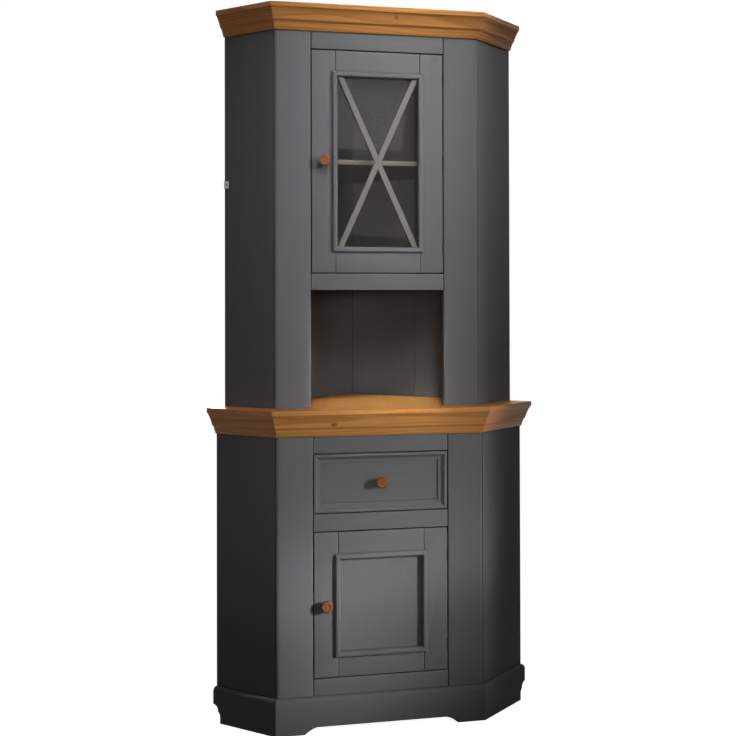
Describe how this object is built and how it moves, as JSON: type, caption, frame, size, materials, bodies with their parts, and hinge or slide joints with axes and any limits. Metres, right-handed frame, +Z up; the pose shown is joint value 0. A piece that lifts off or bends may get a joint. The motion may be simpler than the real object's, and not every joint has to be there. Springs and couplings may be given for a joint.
{
  "type": "corner buffet with hutch",
  "caption": "Five-sided corner buffet with hutch: pine worktop and crown, open niche, drawer over a panelled door, glazed door with crossed bars, arched plinth",
  "frame": {"origin": "centre of the bounding box's footprint, at floor level", "axes": "+Z up; the front looks along -Y; the room corner is on +Y, the two walls at 45 degrees to X and Y; +X is the right-hand side seen from the front, the side where the doors hang"},
  "size_m": [0.9242, 0.6282, 1.96],
  "materials": {
    "paint": "satin grey lacquer over pine, the grain showing faintly",
    "pale_paint": "satin pale grey lacquer",
    "pine": "honey-stained and lacquered pine",
    "knob_wood": "turned and lacquered wood",
    "raw_wood": "plain sanded pine",
    "steel": "plain nickel-plated steel",
    "dark_steel": "dark bronzed steel",
    "glass": "clear"
  },
  "bodies": {
    "carcass": {"plinth_front": "paint", "plinth_left": "paint", "plinth_right": "paint", "rear_foot": "raw_wood", "base_post_left": "paint", "base_post_right": "paint", "base_side_left": "paint", "base_side_right": "paint", "base_back_left": "paint", "base_back_right": "paint", "base_bottom_rail": "paint", "base_mid_rail": "paint", "base_top_rail": "paint", "base_floor": "paint", "base_shelf": "pale_paint", "drawer_runners": "raw_wood", "worktop_panel": "pine", "worktop_edge_front": "pine", "worktop_edge_left": "pine", "worktop_edge_right": "pine", "hutch_post_left": "paint", "hutch_post_right": "paint", "hutch_side_left": "paint", "hutch_side_right": "paint", "hutch_back_left": "paint", "hutch_back_right": "paint", "hutch_bottom_rail": "paint", "hutch_top_rail": "paint", "hutch_floor": "paint", "hutch_shelf": "pale_paint", "hutch_top": "pine", "crown_front": "pine", "crown_left": "pine", "crown_right": "pine", "shelf_pins": "steel", "hinge_frame_leaves": "dark_steel", "door_catches": "steel", "fixing_plate": "steel"},
    "base_door": {"base_door_lock_stile": "paint", "base_door_hinge_stile": "paint", "base_door_top_rail": "paint", "base_door_bottom_rail": "paint", "base_door_panel": "paint", "base_door_moulding": "paint", "base_door_knob": "knob_wood", "base_door_hinge_leaves": "dark_steel"},
    "hutch_door": {"hutch_door_lock_stile": "paint", "hutch_door_hinge_stile": "paint", "hutch_door_top_rail": "paint", "hutch_door_bottom_rail": "paint", "hutch_door_glass": "glass", "hutch_door_glazing_bars": "pale_paint", "hutch_door_moulding": "paint", "hutch_door_knob": "knob_wood", "hutch_door_hinge_leaves": "dark_steel"},
    "drawer": {"drawer_front": "paint", "drawer_sides": "raw_wood", "drawer_back": "raw_wood", "drawer_bottom": "raw_wood", "drawer_knob": "knob_wood"}
  },
  "joints": [
    {"name": "base_door_hinge", "type": "hinge", "parent": "carcass", "child": "base_door", "pos_m": [0.184, -0.27561, 0.3377], "axis": [0, 0, 1], "range_deg": [0, 165]},
    {"name": "hutch_door_hinge", "type": "hinge", "parent": "carcass", "child": "hutch_door", "pos_m": [0.184, -0.22911, 1.5367], "axis": [0, 0, 1], "range_deg": [0, 165]},
    {"name": "drawer_slide", "type": "slide", "parent": "carcass", "child": "drawer", "axis": [0, -1, 0], "range_m": [0, 0.24]}
  ]
}
